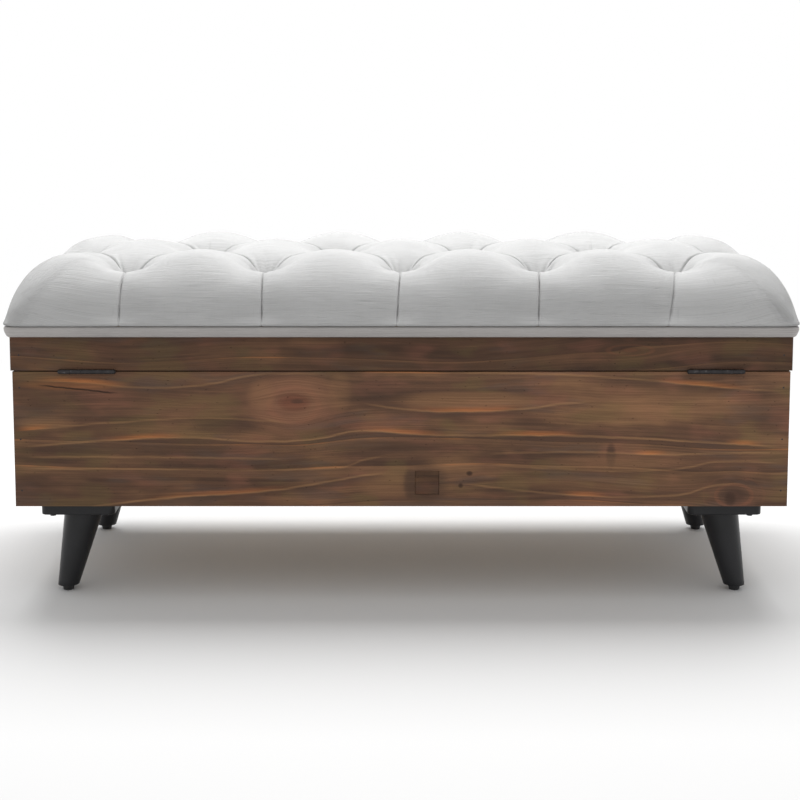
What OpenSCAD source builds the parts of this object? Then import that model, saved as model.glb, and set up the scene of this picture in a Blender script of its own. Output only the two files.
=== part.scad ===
// Storage bench: a boarded chest on four splayed legs, with a deep-buttoned seat as its hinged lid.
// Millimetres, +Z up, origin on the floor under the middle of the bench.
// The hinges are on the -Y side (the back) and the lid opens on the +Y side (the front).
// Left is -X and right is +X, as seen from the hinge side.

/* [Overall] */
// Length over the widest line of the cushion
seat_length = 1080; // [1040:10:1160]
// Depth over the widest line of the cushion
seat_depth = 440; // [430:5:480]
// Height of the box's underside above the floor
leg_height = 135; // [120:5:170]

/* [Box] */
// Height of the box's boards
box_height = 187; // [180:1:260]
// Thickness of the solid boards of the box and of the lid's frame
board = 18; // [18:1:20]
// Thickness of the bottom panel
bottom_t = 15; // [12:1:18]
// Gap between the closed lid and the box
lid_gap = 2; // [2:0.5:3]

/* [Lid] */
// Height of the lid's wooden frame
rail_height = 46; // [44:1:60]
// Thickness of the deck under the cushion
deck_t = 15; // [12:1:18]
// Height of the cushion above the deck
cushion_height = 95; // [90:5:110]
// Radius of the cushion's top edges
cushion_round = 55; // [50:1:60]

/* [Tufting] */
// Spacing of the buttons along the bench
tuft_pitch = 190; // [180:1:195]
// Distance between the rows of buttons
tuft_row = 135; // [125:1:138]
// How far a button lies below the cushion's top
tuft_depth = 40; // [30:1:45]
// Diameter of a covered button
button_d = 24; // [18:1:26]

/* [Legs] */
// Sideways splay of a leg, the same along both axes
leg_splay = 21; // [10:1:24]
// Diameter of a leg at its mounting block
leg_top_d = 55; // [45:1:60]
// Diameter of a leg at its foot
leg_foot_d = 29; // [24:1:34]
// Side of the square mounting block
block_side = 102; // [96:1:106]

/* [Hinges] */
// Length of a butt hinge
hinge_length = 76; // [64:1:90]
// Distance of a hinge's middle from the middle of the bench
hinge_x = 426; // [380:1:440]
// How far the lid opens, in degrees
lid_opening = 85; // [75:1:88]

/* [Hidden] */
$fn = 48;

wood = "#6b4a33";
dark_wood = "#54402f";
black = "#232323";
steel = "#3a3a3c";
linen = "#c9c8c6";

// Plan sizes: the cushion overhangs the lid's frame, which overhangs the box.
cushion_overhang = 10;
rail_overhang = 2;
lid_l = seat_length - 2 * cushion_overhang;
lid_d = seat_depth - 2 * cushion_overhang;
box_l = lid_l - 2 * rail_overhang;
box_d = lid_d - 2 * rail_overhang;
inner_l = box_l - 2 * board;
inner_d = box_d - 2 * board;
lid_inner_l = lid_l - 2 * board;
lid_inner_d = lid_d - 2 * board;

// Heights of the main faces above the floor.
box_z = leg_height;
box_top = box_z + box_height;
floor_top = box_z + bottom_t;
rail_z = box_top + lid_gap;
deck_z = rail_z + rail_height;
cushion_z = deck_z + deck_t;
cushion_top = cushion_z + cushion_height;

// Legs and their mounting blocks.
block_t = 20;
block_x = 449;
block_y = 130;
block_round = 8;
glide_h = 8;
glide_d = 18;
glide_face_d = 14;
glide_nail_l = 16;
leg_bolt_offset = 37;
leg_bolt_d = 6;
leg_bolt_head_d = 12;
leg_bolt_head_h = 4;
hanger_d = 8;
hanger_in_leg = 40;
corner_block_t = 18;
tee_flange_d = 18;
tee_flange_t = 1.5;
tee_barrel_d = 8.5;
tee_barrel_l = 10;
leg_rise = leg_height - block_t - glide_h;
leg_tilt = atan(leg_splay * sqrt(2) / leg_rise);
leg_trim = 100;
bolt_fit = 0.3;

// Felt bumpers between the box and the lid.
bumper_x = 440;
bumper_r = 6;
bumper_t = lid_gap - 0.2;

// Battens that hold the bottom panel to the long boards.
batten = 15;
batten_l = 2 * (block_x - 55);

// Nails with filled heads.
nail_d = 2.4;
nail_l = 42;

// Small square patch let into the back board.
patch_side = 33;
patch_t = 3.2;
patch_pocket = 4;
patch_x = 35;
patch_z = 168;

// Hinges. The pin runs outside the boards, level with the middle of the gap.
knuckle_r = 3.2;
hinge_pin_r = 1.5;
hinge_fit = 0.05;
leaf_t = 1.6;
leaf_w = 18;
leaf_clear = 0.1;
knuckles = 5;
knuckle_l = hinge_length / knuckles;
hinge_y = -lid_d / 2 - knuckle_r - 0.2;
hinge_z = box_top + lid_gap / 2;
hinge_screw_r = 1.5;
hinge_screw_l = 14;
hinge_screw_y = -box_d / 2 + 6.5;
hinge_screw_pitch = hinge_length * 0.34;

// Lid stays. The stud on the box and the pivot on the lid are at the same distance
// from the hinge pin, so the slotted arm turns exactly half as far as the lid.
stay_radius = 85;
stay_stud_angle = -38;
stay_pivot_angle = 6;
stay_t = 2.5;
stay_w = 14;
stay_end_r = 7.5;
stay_slot_w = 7;
stay_stud_r = 3.2;
stay_pin_r = 2.5;
stay_head_t = 2;
stay_plate_t = 2;
stay_x = inner_l / 2 - 4.75;
stay_closed = 2 * stay_radius * sin((stay_pivot_angle - stay_stud_angle) / 2);
stay_open = 2 * stay_radius * sin((stay_pivot_angle - stay_stud_angle + lid_opening) / 2);
stay_stud_y = hinge_y + stay_radius * cos(stay_stud_angle);
stay_stud_z = hinge_z + stay_radius * sin(stay_stud_angle);
stay_pivot_y = hinge_y + stay_radius * cos(stay_pivot_angle);
stay_pivot_z = hinge_z + stay_radius * sin(stay_pivot_angle);
stay_direction = atan2(stay_stud_z - stay_pivot_z, stay_stud_y - stay_pivot_y);
stay_screw_r = 1.6;
stay_screw_l = 12;
stay_head_r = 5.5;
stay_collar_r = 5;
stay_stud_screw_y = 10;
stay_bracket_screw_y = 9;
stay_bracket_screw_z = deck_z - 34 + 8;

// Upholstery.
cover_t = 2;
band_t = 3;
foam_l = seat_length - 40;
foam_d = seat_depth - 40;
foam_h = 77;
button_h = 6;
tuft_z = cushion_top - tuft_depth;
dimple_foot_r = button_d / 2 + 1.5;
dimple_top_r = 45;
dimple_wall = 2.6;
cord_r = 1;
cord_bore_r = 3;
washer_r = 10;
washer_t = 2;
cushion_corner = 26;
lining_t = 1;
lining_z = deck_z - 4;
tufts = concat(
    [for (row = [-1, 1], i = [-2:2]) [i * tuft_pitch, row * tuft_row]],
    [for (i = [-3:2]) [(i + 0.5) * tuft_pitch, 0]]
);

// Screws that hold the lid's frame to the deck, above the long and the short rails.
deck_screw_r = 2;
deck_screw_l = 35;
deck_screw_head_r = 4;
deck_screw_head_h = 3;
deck_screw_pitch = 240;
deck_screw_at = concat(
    [for (side = [-1, 1], i = [-2:2]) [i * deck_screw_pitch, side * (lid_d - board) / 2]],
    [for (side = [-1, 1]) [side * (lid_l - board) / 2, 0]]
);

module board_at(size, low) {
    translate(low) cube(size);
}

module at_each(points, z = 0) {
    for (p = points) translate([p[0], p[1], z]) children();
}

// Corners of the box, as [side along X, side along Y].
corners = [for (sx = [-1, 1], sy = [-1, 1]) [sx, sy]];

leg_bolt_at = [
    for (c = corners, d = corners)
        [c[0] * block_x + d[0] * leg_bolt_offset, c[1] * block_y + d[1] * leg_bolt_offset]
];

// ---- Box ----

nail_heights = [box_z + 22, box_z + box_height / 2, box_top - 22];

// A nail driven along Y from an outer face; side is -1 at the back and 1 at the front.
module nail(side, y_face, x, z) {
    translate([x, side * y_face, z]) rotate([side * 90, 0, 0]) cylinder(r = nail_d / 2, h = nail_l);
}

module panel_nails() {
    color(dark_wood)
        for (c = corners, z = nail_heights) nail(c[1], box_d / 2, c[0] * (inner_l + board) / 2, z);
}

module long_panel(side) {
    difference() {
        board_at([box_l, board, box_height], [-box_l / 2, side > 0 ? inner_d / 2 : -box_d / 2, box_z]);
        panel_nails();
    }
}

module back_panel() {
    color(wood) difference() {
        long_panel(-1);
        for (side = [-1, 1]) {
            translate([side * hinge_x - hinge_length / 2, -box_d / 2 - 1, hinge_z - leaf_clear - leaf_t])
                cube([hinge_length, leaf_w + hinge_y + box_d / 2 + 1, 10]);
        }
        hinge_screw_shanks(-1);
        translate([patch_x - patch_side / 2, -box_d / 2 - 1, patch_z - patch_side / 2])
            cube([patch_side, patch_pocket + 1, patch_side]);
    }
}

module front_panel() {
    color(wood) long_panel(1);
}

module end_panel(side) {
    color(wood) difference() {
        board_at([board, inner_d, box_height], [side > 0 ? inner_l / 2 : -box_l / 2, -inner_d / 2, box_z]);
        panel_nails();
        stay_stud_screw_shanks();
    }
}

module panel_patch() {
    color(dark_wood)
        board_at([patch_side, patch_t, patch_side],
            [patch_x - patch_side / 2, patch_pocket - patch_t - box_d / 2, patch_z - patch_side / 2]);
}

module bottom_panel() {
    color(wood) difference() {
        board_at([inner_l, inner_d, bottom_t], [-inner_l / 2, -inner_d / 2, box_z]);
        at_each(leg_bolt_at, box_z - 1) cylinder(r = leg_bolt_d / 2 + bolt_fit, h = bottom_t + 2);
        hanger_bolts();
    }
}

module bottom_battens() {
    color(wood) for (side = [-1, 1])
        board_at([batten_l, batten, batten],
            [-batten_l / 2, side > 0 ? inner_d / 2 - batten : -inner_d / 2, floor_top]);
}

module corner_blocks() {
    far_x = inner_l / 2;
    far_y = inner_d / 2;
    near_x = block_x - block_side / 2;
    near_y = block_y - block_side / 2 - 2;
    color(wood) difference() {
        for (c = corners)
            translate([
                c[0] > 0 ? near_x : -far_x,
                c[1] > 0 ? near_y : -far_y,
                floor_top
            ]) cube([far_x - near_x, far_y - near_y, corner_block_t]);
        at_each(leg_bolt_at, floor_top - 1) {
            cylinder(r = leg_bolt_d / 2 + bolt_fit, h = corner_block_t + 2);
            translate([0, 0, 1 + corner_block_t - tee_barrel_l])
                cylinder(r = tee_barrel_d / 2, h = tee_barrel_l + 1);
        }
        hanger_bolts();
    }
}

module tee_nuts() {
    color(steel) at_each(leg_bolt_at, floor_top + corner_block_t) difference() {
        union() {
            translate([0, 0, -tee_barrel_l]) cylinder(r = tee_barrel_d / 2, h = tee_barrel_l);
            cylinder(r = tee_flange_d / 2, h = tee_flange_t);
        }
        translate([0, 0, -tee_barrel_l - 1]) cylinder(r = leg_bolt_d / 2, h = tee_barrel_l + 4);
    }
}

module leg_bolts() {
    shank = block_t + bottom_t + corner_block_t;
    color(black) at_each(leg_bolt_at, box_z - block_t) {
        cylinder(r = leg_bolt_d / 2, h = shank);
        translate([0, 0, -leg_bolt_head_h]) difference() {
            cylinder(r1 = leg_bolt_head_d / 2 - 2, r2 = leg_bolt_head_d / 2, h = leg_bolt_head_h);
            translate([0, 0, -0.1]) cylinder(r = 2, h = 2.4, $fn = 6);
        }
    }
}

// ---- Legs ----

// Runs children along a leg's axis, from the middle of its top face, with the foot outwards.
module leg_axis(c) {
    translate([c[0] * block_x, c[1] * block_y, box_z - block_t])
        rotate([0, 0, atan2(c[1], c[0])]) rotate([0, -leg_tilt, 0]) children();
}

module leg_block(c) {
    half = block_side / 2;
    color(black) difference() {
        translate([c[0] * block_x, c[1] * block_y, box_z - block_t]) union() {
            for (turn = [0, 90]) rotate(turn)
                translate([-half, block_round - half, 0])
                    cube([block_side, block_side - 2 * block_round, block_t]);
            for (d = corners)
                translate([d[0] * (half - block_round), d[1] * (half - block_round), 0])
                    cylinder(r = block_round, h = block_t);
        }
        at_each(leg_bolt_at, box_z - block_t - 1) cylinder(r = leg_bolt_d / 2 + bolt_fit, h = block_t + 2);
        hanger_bolts();
    }
}

module leg(c) {
    length = leg_rise / cos(leg_tilt);
    reach = 30;
    widen = (leg_top_d - leg_foot_d) / 2 / length;
    color(black) difference() {
        leg_axis(c) translate([0, 0, -length - reach])
            cylinder(
                r1 = leg_foot_d / 2 - widen * reach,
                r2 = leg_top_d / 2 + widen * reach,
                h = length + 2 * reach
            );
        translate([c[0] * block_x, c[1] * block_y, 0]) {
            translate([-leg_trim, -leg_trim, box_z - block_t]) cube(2 * leg_trim);
            translate([-leg_trim, -leg_trim, glide_h - leg_trim])
                cube([2 * leg_trim, 2 * leg_trim, leg_trim]);
        }
        hanger_bolts();
        glide(c);
    }
}

module glide(c) {
    color(black) translate([c[0] * (block_x + leg_splay), c[1] * (block_y + leg_splay), 0]) {
        cylinder(r1 = glide_face_d / 2, r2 = glide_d / 2, h = glide_h);
        cylinder(r = 1.5, h = glide_h + glide_nail_l);
    }
}

module hanger_bolts() {
    above = block_t + bottom_t + 10;
    color(steel) for (c = corners)
        leg_axis(c) translate([0, 0, -hanger_in_leg]) cylinder(r = hanger_d / 2, h = hanger_in_leg + above);
}

module lid_bumpers() {
    color(black) for (side = [-1, 1])
        translate([side * bumper_x, (inner_d + board) / 2, box_top]) cylinder(r = bumper_r, h = bumper_t);
}

// ---- Hinges ----

// Shanks of a leaf's three screws; side is -1 for the box and 1 for the lid.
module hinge_screw_shanks(side) {
    for (hx = [-hinge_x, hinge_x], i = [-1:1])
        translate([hx + i * hinge_screw_pitch, hinge_screw_y, hinge_z + side * leaf_clear])
            mirror([0, 0, side > 0 ? 0 : 1]) hinge_screw();
}

module hinge_screws(side) {
    color(steel) hinge_screw_shanks(side);
}

module hinge_screw() {
    cylinder(r = hinge_screw_r, h = hinge_screw_l);
    cylinder(r1 = 2 * hinge_screw_r, r2 = hinge_screw_r, h = leaf_t);
}

module leaf(x, side) {
    low = side > 0 ? leaf_clear : -leaf_clear - leaf_t;
    first = side > 0 ? 1 : 0;
    color(steel) difference() {
        translate([x, hinge_y, hinge_z]) difference() {
            union() {
                translate([-hinge_length / 2, 0, low]) cube([hinge_length, leaf_w, leaf_t]);
                for (i = [first:2:knuckles - 1]) knuckle(i, knuckle_r, 0.15);
            }
            for (i = [1 - first:2:knuckles - 1]) knuckle(i, knuckle_r + 0.3, -0.15);
            translate([-hinge_length, 0, 0]) rotate([0, 90, 0])
                cylinder(r = hinge_pin_r + hinge_fit, h = 2 * hinge_length);
        }
        hinge_screw_shanks(side);
    }
}

// One knuckle of a hinge, shortened at both ends by trim.
module knuckle(i, r, trim) {
    translate([i * knuckle_l - hinge_length / 2 + trim, 0, 0]) rotate([0, 90, 0])
        cylinder(r = r, h = knuckle_l - 2 * trim);
}

module hinge_pin(x) {
    head_t = 1;
    color(steel) translate([x, hinge_y, hinge_z]) rotate([0, 90, 0]) {
        translate([0, 0, -hinge_length / 2 - head_t])
            cylinder(r = hinge_pin_r, h = hinge_length + 2 * head_t);
        for (end = [-1, 1])
            translate([0, 0, end * (hinge_length + head_t) / 2]) cylinder(r = 2.4, h = head_t, center = true);
    }
}

// ---- Lid stays ----

// Runs children along X from an end board's inner face towards the middle of the bench.
module stay_base(side, face_x, y, z) {
    mirror([side < 0 ? 1 : 0, 0, 0]) translate([face_x, y, z]) rotate([0, -90, 0]) children();
}

module stay_stud(side) {
    head = inner_l / 2 - stay_x + stay_t / 2 + 0.5;
    color(steel) difference() {
        stay_base(side, inner_l / 2, stay_stud_y, stay_stud_z) {
            translate([-9, -15, 0]) cube([18, 30, stay_plate_t]);
            cylinder(r = stay_collar_r, h = inner_l / 2 - stay_x - stay_t / 2 - 0.3);
            cylinder(r = stay_stud_r, h = head);
            translate([0, 0, head]) cylinder(r = stay_head_r + 0.5, h = stay_head_t);
        }
        stay_stud_screw_shanks();
    }
}

module stay_stud_screw_shanks() {
    for (side = [-1, 1], d = [-1, 1])
        stay_base(side, inner_l / 2, stay_stud_y + d * stay_stud_screw_y, stay_stud_z)
            translate([0, 0, stay_plate_t]) mirror([0, 0, 1]) cylinder(r = stay_screw_r, h = stay_screw_l);
}

module stay_stud_screws() {
    color(steel) {
        stay_stud_screw_shanks();
        for (side = [-1, 1], d = [-1, 1])
            stay_base(side, inner_l / 2 - stay_plate_t, stay_stud_y + d * stay_stud_screw_y, stay_stud_z)
                cylinder(r1 = 3, r2 = 2, h = 1.2);
    }
}

module stay_bracket(side) {
    head = lid_inner_l / 2 - stay_x + stay_t / 2 + 0.5;
    color(steel) difference() {
        stay_base(side, lid_inner_l / 2, stay_pivot_y, stay_pivot_z) {
            translate([-6, -15, 0]) cube([24, 30, stay_plate_t]);
            cylinder(r = stay_collar_r, h = lid_inner_l / 2 - stay_x - stay_t / 2 - 0.3);
            cylinder(r = stay_pin_r, h = head);
            translate([0, 0, head]) cylinder(r = stay_head_r, h = stay_head_t);
        }
        stay_bracket_screw_shanks();
    }
}

module stay_bracket_screw_shanks() {
    for (side = [-1, 1], d = [-1, 1])
        stay_base(side, lid_inner_l / 2, stay_pivot_y + d * stay_bracket_screw_y, stay_bracket_screw_z)
            translate([0, 0, stay_plate_t]) mirror([0, 0, 1]) cylinder(r = stay_screw_r, h = stay_screw_l);
}

module stay_bracket_screws() {
    color(steel) {
        stay_bracket_screw_shanks();
        for (side = [-1, 1], d = [-1, 1])
            stay_base(side, lid_inner_l / 2 - stay_plate_t, stay_pivot_y + d * stay_bracket_screw_y,
                stay_bracket_screw_z) cylinder(r1 = 3, r2 = 2, h = 1.2);
    }
}

module stay_arm(side) {
    slot_margin = 0.3;
    color(steel)
        translate([side * stay_x - stay_t / 2, stay_pivot_y, stay_pivot_z])
            rotate([90, 0, 90]) rotate(stay_direction) difference() {
                union() {
                    cylinder(r = stay_end_r, h = stay_t);
                    translate([0, -stay_w / 2, 0]) cube([stay_open + 2, stay_w, stay_t]);
                    translate([stay_open + 2, 0, 0]) cylinder(r = stay_end_r, h = stay_t);
                }
                translate([0, 0, -1]) {
                    cylinder(r = stay_pin_r + 0.06, h = stay_t + 2);
                    translate([stay_closed - slot_margin, -stay_slot_w / 2, 0])
                        cube([stay_open - stay_closed + 2 * slot_margin, stay_slot_w, stay_t + 2]);
                    for (s = [stay_closed - slot_margin, stay_open + slot_margin])
                        translate([s, 0, 0]) cylinder(r = stay_slot_w / 2 + 0.05, h = stay_t + 2);
                }
            }
}

// ---- Lid ----

module rail_nails() {
    color(dark_wood)
        for (c = corners)
            nail(c[1], lid_d / 2, c[0] * (lid_inner_l / 2 + board * 0.35), rail_z + rail_height * 0.46);
}

module deck_screws() {
    color(steel) at_each(deck_screw_at, cushion_z - deck_screw_l) {
        cylinder(r = deck_screw_r, h = deck_screw_l);
        translate([0, 0, deck_screw_l - deck_screw_head_h])
            cylinder(r1 = deck_screw_r, r2 = deck_screw_head_r, h = deck_screw_head_h);
    }
}

module long_rail(side) {
    difference() {
        board_at([lid_l, board, rail_height], [-lid_l / 2, side > 0 ? lid_inner_d / 2 : -lid_d / 2, rail_z]);
        rail_nails();
        deck_screws();
    }
}

module lid_back_rail() {
    color(wood) difference() {
        long_rail(-1);
        for (side = [-1, 1])
            translate([side * hinge_x - hinge_length / 2, -lid_d / 2 - 1, rail_z - 5])
                cube([hinge_length, leaf_w + hinge_y + lid_d / 2 + 1, 5 + leaf_clear + leaf_t - lid_gap / 2]);
        hinge_screw_shanks(1);
    }
}

module lid_front_rail() {
    color(wood) long_rail(1);
}

module end_rail(side) {
    color(wood) difference() {
        board_at(
            [board, lid_inner_d, rail_height],
            [side > 0 ? lid_inner_l / 2 : -lid_l / 2, -lid_inner_d / 2, rail_z]
        );
        rail_nails();
        deck_screws();
        stay_bracket_screw_shanks();
    }
}

module lid_deck() {
    color(wood) difference() {
        board_at([lid_l + 2, lid_d + 2, deck_t], [-lid_l / 2 - 1, -lid_d / 2 - 1, deck_z]);
        deck_screws();
        at_each(tufts, deck_z - 1) cylinder(r = cord_bore_r, h = deck_t + 2);
    }
}

module lid_lining() {
    color(black)
        board_at([lid_inner_l, lid_inner_d, lining_t], [-lid_inner_l / 2, -lid_inner_d / 2, lining_z]);
}

// ---- Upholstery ----

// Half of an outline with a rounded top edge: width w, from z0 up to z1.
function arch(w, z0, z1, r) = concat(
    [[-w / 2, z0], [w / 2, z0]],
    [for (a = [0:11.25:90]) [w / 2 - r + r * cos(a), z1 - r + r * sin(a)]],
    [for (a = [90:11.25:180]) [r - w / 2 + r * cos(a), z1 - r + r * sin(a)]]
);

// Outline of a rectangle with rounded corners, centred on the origin.
function rounded_outline(l, d, r) = [
    for (q = [0:3], a = [0:15:90])
        let (sx = q == 0 || q == 3 ? 1 : -1, sy = q < 2 ? 1 : -1)
        [sx * (l / 2 - r) + r * cos(a + 90 * q), sy * (d / 2 - r) + r * sin(a + 90 * q)]
];

// A pad with rounded top edges and rounded corners, shrunk on every face but its bottom by inset.
module pad(inset) {
    l = seat_length - 2 * inset;
    d = seat_depth - 2 * inset;
    top = cushion_top - inset;
    r = cushion_round - inset;
    low = cushion_z + inset;
    intersection() {
        translate([0, d, 0]) rotate([90, 0, 0]) linear_extrude(2 * d) polygon(arch(l, low, top, r));
        translate([-l, 0, 0]) rotate([90, 0, 90]) linear_extrude(2 * l) polygon(arch(d, low, top, r));
        translate([0, 0, low]) linear_extrude(cushion_height)
            polygon(rounded_outline(l, d, cushion_corner - inset));
    }
}

// The hollows that the buttons pull into the pad, widened by wall.
module dimples(wall) {
    rise = tuft_depth + cover_t;
    slope = (dimple_top_r - dimple_foot_r) / tuft_depth;
    low = wall > 0 ? cover_t : 0;
    at_each(tufts, tuft_z - low)
        cylinder(
            r1 = dimple_foot_r + wall - slope * low,
            r2 = dimple_foot_r + wall + slope * rise,
            h = rise + low
        );
}

module filling_space() {
    difference() {
        union() {
            pad(cover_t);
            board_at([lid_l + 2, lid_d + 2, cover_t], [-lid_l / 2 - 1, -lid_d / 2 - 1, cushion_z]);
        }
        dimples(dimple_wall);
    }
}

module foam_block() {
    board_at([foam_l, foam_d, foam_h], [-foam_l / 2, -foam_d / 2, cushion_z]);
}

module seat_cover() {
    color(linen) difference() {
        pad(0);
        dimples(0);
        filling_space();
        at_each(tufts, tuft_z - 10) cylinder(r = cord_r, h = 20);
    }
}

module seat_foam() {
    color("#e8e2c8") difference() {
        foam_block();
        dimples(dimple_wall);
        at_each(tufts, cushion_z - 1) cylinder(r = cord_bore_r, h = foam_h);
    }
}

module seat_wadding() {
    color("white") difference() {
        filling_space();
        foam_block();
    }
}

module seat_band() {
    color(linen) translate([0, 0, deck_z]) linear_extrude(deck_t) difference() {
        polygon(rounded_outline(lid_l + 2 + 2 * band_t, lid_d + 2 + 2 * band_t, 6));
        square([lid_l + 2, lid_d + 2], center = true);
    }
}

module tuft_buttons() {
    color(linen) at_each(tufts, tuft_z) {
        cylinder(r = button_d / 2, h = button_h / 2);
        translate([0, 0, button_h / 2]) cylinder(r1 = button_d / 2, r2 = button_d / 3, h = button_h / 2);
    }
}

module tuft_cords() {
    color("white") at_each(tufts, deck_z - washer_t) cylinder(r = cord_r, h = tuft_z - deck_z + washer_t);
}

module tuft_washers() {
    color(steel) at_each(tufts, deck_z - washer_t) difference() {
        cylinder(r = washer_r, h = washer_t);
        translate([0, 0, -1]) cylinder(r = cord_r, h = washer_t + 2);
    }
}

// ---- Nodes ----

BL = [-1, -1];
BR = [1, -1];
FL = [-1, 1];
FR = [1, 1];

back_panel();
front_panel();
end_panel(-1);  // left_panel
end_panel(1);  // right_panel
bottom_panel();
panel_patch();
panel_nails();
corner_blocks();
bottom_battens();
lid_bumpers();
leg_block(BL);  // leg_block_back_left
leg_block(BR);  // leg_block_back_right
leg_block(FL);  // leg_block_front_left
leg_block(FR);  // leg_block_front_right
leg(BL);  // leg_back_left
leg(BR);  // leg_back_right
leg(FL);  // leg_front_left
leg(FR);  // leg_front_right
glide(BL);  // glide_back_left
glide(BR);  // glide_back_right
glide(FL);  // glide_front_left
glide(FR);  // glide_front_right
hanger_bolts();
leg_bolts();
tee_nuts();
leaf(-hinge_x, -1);  // left_hinge_box_leaf
leaf(hinge_x, -1);  // right_hinge_box_leaf
hinge_pin(-hinge_x);  // left_hinge_pin
hinge_pin(hinge_x);  // right_hinge_pin
hinge_screws(-1);  // hinge_box_screws
stay_stud(-1);  // left_stay_stud
stay_stud(1);  // right_stay_stud
stay_stud_screws();
lid_back_rail();
lid_front_rail();
end_rail(-1);  // lid_left_rail
end_rail(1);  // lid_right_rail
lid_deck();
deck_screws();
rail_nails();
lid_lining();
seat_foam();
seat_wadding();
seat_cover();
seat_band();
tuft_buttons();
tuft_cords();
tuft_washers();
leaf(-hinge_x, 1);  // left_hinge_lid_leaf
leaf(hinge_x, 1);  // right_hinge_lid_leaf
hinge_screws(1);  // hinge_lid_screws
stay_bracket(-1);  // left_stay_bracket
stay_bracket(1);  // right_stay_bracket
stay_bracket_screws();
stay_arm(-1);  // left_stay_arm
stay_arm(1);  // right_stay_arm
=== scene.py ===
"""Storage bench: the looks of a boarded chest with a deep-buttoned linen seat as its hinged lid.

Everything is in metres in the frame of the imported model: +X along the bench, -Y the hinge side, +Z up.
"""

import random
from functools import partialmethod
from math import cos, dist, exp, hypot, inf, pi, radians, sin

import bpy
import numpy as np
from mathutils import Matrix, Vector


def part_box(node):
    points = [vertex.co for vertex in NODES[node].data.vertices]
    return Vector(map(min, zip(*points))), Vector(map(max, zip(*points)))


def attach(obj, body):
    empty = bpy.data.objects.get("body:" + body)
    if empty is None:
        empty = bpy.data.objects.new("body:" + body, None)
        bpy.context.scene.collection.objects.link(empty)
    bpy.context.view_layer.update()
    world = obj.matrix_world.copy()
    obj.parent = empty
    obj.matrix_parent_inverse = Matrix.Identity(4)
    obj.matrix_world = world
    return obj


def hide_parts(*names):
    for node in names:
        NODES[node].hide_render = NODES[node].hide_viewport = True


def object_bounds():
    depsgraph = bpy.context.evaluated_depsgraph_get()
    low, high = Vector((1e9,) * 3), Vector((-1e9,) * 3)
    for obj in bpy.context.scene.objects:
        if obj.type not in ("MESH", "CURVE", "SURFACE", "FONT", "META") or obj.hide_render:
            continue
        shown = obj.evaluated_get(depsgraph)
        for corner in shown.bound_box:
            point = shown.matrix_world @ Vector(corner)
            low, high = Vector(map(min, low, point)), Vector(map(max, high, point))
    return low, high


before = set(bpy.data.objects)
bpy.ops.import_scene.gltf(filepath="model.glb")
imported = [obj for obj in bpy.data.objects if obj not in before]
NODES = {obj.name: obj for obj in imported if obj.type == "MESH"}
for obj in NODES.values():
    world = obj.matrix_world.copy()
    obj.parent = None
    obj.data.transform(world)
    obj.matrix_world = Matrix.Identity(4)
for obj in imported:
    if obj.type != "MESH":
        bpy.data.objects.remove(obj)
cad_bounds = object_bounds()
MM = 0.001


def show(thing):
    """Puts an object into the scene."""
    bpy.context.scene.collection.objects.link(thing)
    return thing


# ---- camera

# The lens and sensor in millimetres, the camera's place in metres and its shift as a share of the frame.
LENS = 73.26
SENSOR = 36
CAMERA_BACK = 2.164
CAMERA_HEIGHT = 0.735
CAMERA_SIDE = -0.0019
CAMERA_PITCH = radians(6.47)
CAMERA_SHIFT = -0.1875


def make_camera():
    """A camera a little above the seat that looks at the hinge side."""
    data = bpy.data.cameras.new("camera")
    data.sensor_width = SENSOR
    data.lens = LENS
    data.shift_y = CAMERA_SHIFT
    camera = show(bpy.data.objects.new("camera", data))
    camera.location = (CAMERA_SIDE, cad_bounds[0].y - CAMERA_BACK, CAMERA_HEIGHT)
    camera.rotation_euler = (pi / 2 - CAMERA_PITCH, 0, 0)
    bpy.context.scene.camera = camera


make_camera()

# ---- small tools


def opaque(color):
    """A plain colour with its alpha; a socket stays as it is."""
    return (*color, 1) if isinstance(color, tuple) else color


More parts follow.
